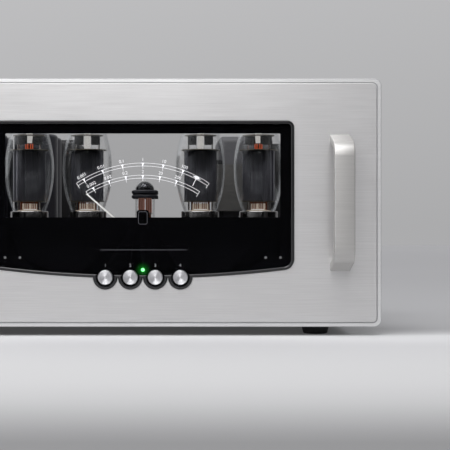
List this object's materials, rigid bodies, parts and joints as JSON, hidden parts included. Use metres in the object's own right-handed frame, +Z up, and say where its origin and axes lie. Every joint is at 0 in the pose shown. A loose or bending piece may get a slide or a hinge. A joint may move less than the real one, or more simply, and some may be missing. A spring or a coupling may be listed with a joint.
{
  "type": "monoblock amplifier",
  "caption": "Free-standing valve monoblock amplifier: brushed front plate with handles, a swept black window with a needle meter and glowing tubes, push buttons below.",
  "frame": {"origin": "on the table, under the middle of the whole object", "axes": "+Z up, front plate faces -Y, +X to the right seen from the front"},
  "size_m": [0.4826, 0.466, 0.26],
  "materials": {
    "panel_aluminium": "brushed",
    "handle_aluminium": "brushed",
    "button_aluminium": "spun",
    "bezel_black": "gloss",
    "mask_black": "matt",
    "clear_window": "polished",
    "clear_scale": "polished",
    "needle_white": "matt",
    "movement_black": "matt",
    "bracket_steel": "plated",
    "screw_steel": "plated",
    "board_green": "satin",
    "switch_black": "satin",
    "lamp_green": "clear",
    "lamp_clear": "clear",
    "chassis_black": "satin",
    "foot_rubber": "matt",
    "tube_glass": "polished",
    "anode_grey": "matt",
    "base_black": "moulded",
    "socket_white": "glazed",
    "damper_black": "satin",
    "capacitor_black": "sleeved",
    "core_grey": "varnished",
    "cover_black": "crackle",
    "contact_gold": "plated",
    "insulator_black": "gloss",
    "connector_nickel": "plated"
  },
  "bodies": {
    "amplifier": {"front_panel": "panel_aluminium", "window_bezel": "bezel_black", "window_lens": "clear_window", "window_mask": "mask_black", "scale_plate": "clear_scale", "meter_movement": "movement_black", "control_bracket": "bracket_steel", "switch_board": "board_green", "tact_switches": "switch_black", "power_lamp": "lamp_green", "status_lamps": "lamp_clear", "handle_left": "handle_aluminium", "handle_right": "handle_aluminium", "handle_screws": "screw_steel", "chassis_floor": "chassis_black", "chassis_side_left": "chassis_black", "chassis_side_right": "chassis_black", "deck_plate": "chassis_black", "rear_panel": "chassis_black", "panel_braces": "chassis_black", "rubber_feet": "foot_rubber", "side_screws": "screw_steel", "power_tube_bases": "base_black", "power_tube_sockets": "socket_white", "driver_tube_glass_1": "tube_glass", "driver_tube_glass_2": "tube_glass", "driver_tube_anodes": "anode_grey", "tube_dampers": "damper_black", "driver_tube_sockets": "socket_white", "filter_capacitors": "capacitor_black", "capacitor_clamps": "bracket_steel", "mains_core": "core_grey", "mains_bells": "cover_black", "output_transformer": "cover_black", "main_board": "board_green", "board_spacers": "bracket_steel", "terminal_posts": "contact_gold", "terminal_bushes": "insulator_black", "xlr_input": "connector_nickel", "rca_input": "contact_gold", "mains_inlet": "insulator_black", "input_switch": "connector_nickel", "power_tube_glass_1": "tube_glass", "power_tube_anode_1": "anode_grey", "power_tube_glass_2": "tube_glass", "power_tube_anode_2": "anode_grey", "power_tube_glass_3": "tube_glass", "power_tube_anode_3": "anode_grey", "power_tube_glass_4": "tube_glass", "power_tube_anode_4": "anode_grey"},
    "needle": {"needle": "needle_white"},
    "lever": {"switch_lever": "connector_nickel"},
    "button_1": {"button_1": "button_aluminium"},
    "nut_1": {"terminal_nut_1": "contact_gold"},
    "button_2": {"button_2": "button_aluminium"},
    "nut_2": {"terminal_nut_2": "contact_gold"},
    "button_3": {"button_3": "button_aluminium"},
    "nut_3": {"terminal_nut_3": "contact_gold"},
    "button_4": {"button_4": "button_aluminium"},
    "nut_4": {"terminal_nut_4": "contact_gold"}
  },
  "joints": [
    {"name": "needle_turn", "type": "hinge", "parent": "amplifier", "child": "needle", "pos_m": [0, -0.188, 0.0939], "axis": [0, 1, 0], "range_deg": [0, 98], "stiffness_Nm_per_rad": 0.0001},
    {"name": "button_1_press", "type": "slide", "parent": "amplifier", "child": "button_1", "axis": [0, 1, 0], "range_m": [0, 0.0018], "stiffness_N_per_m": 200},
    {"name": "button_2_press", "type": "slide", "parent": "amplifier", "child": "button_2", "axis": [0, 1, 0], "range_m": [0, 0.0018], "stiffness_N_per_m": 200},
    {"name": "button_3_press", "type": "slide", "parent": "amplifier", "child": "button_3", "axis": [0, 1, 0], "range_m": [0, 0.0018], "stiffness_N_per_m": 200},
    {"name": "button_4_press", "type": "slide", "parent": "amplifier", "child": "button_4", "axis": [0, 1, 0], "range_m": [0, 0.0018], "stiffness_N_per_m": 200},
    {"name": "nut_1_turn", "type": "hinge", "parent": "amplifier", "child": "nut_1", "pos_m": [0.068, 0.219, 0.0565], "axis": [0, 1, 0], "continuous": true},
    {"name": "nut_2_turn", "type": "hinge", "parent": "amplifier", "child": "nut_2", "pos_m": [0.096, 0.219, 0.0565], "axis": [0, 1, 0], "continuous": true},
    {"name": "nut_3_turn", "type": "hinge", "parent": "amplifier", "child": "nut_3", "pos_m": [0.124, 0.219, 0.0565], "axis": [0, 1, 0], "continuous": true},
    {"name": "nut_4_turn", "type": "hinge", "parent": "amplifier", "child": "nut_4", "pos_m": [0.152, 0.219, 0.0565], "axis": [0, 1, 0], "continuous": true},
    {"name": "lever_tilt", "type": "hinge", "parent": "amplifier", "child": "lever", "pos_m": [0.046, 0.211, 0.0565], "axis": [1, 0, 0], "range_deg": [-24, 0]}
  ]
}
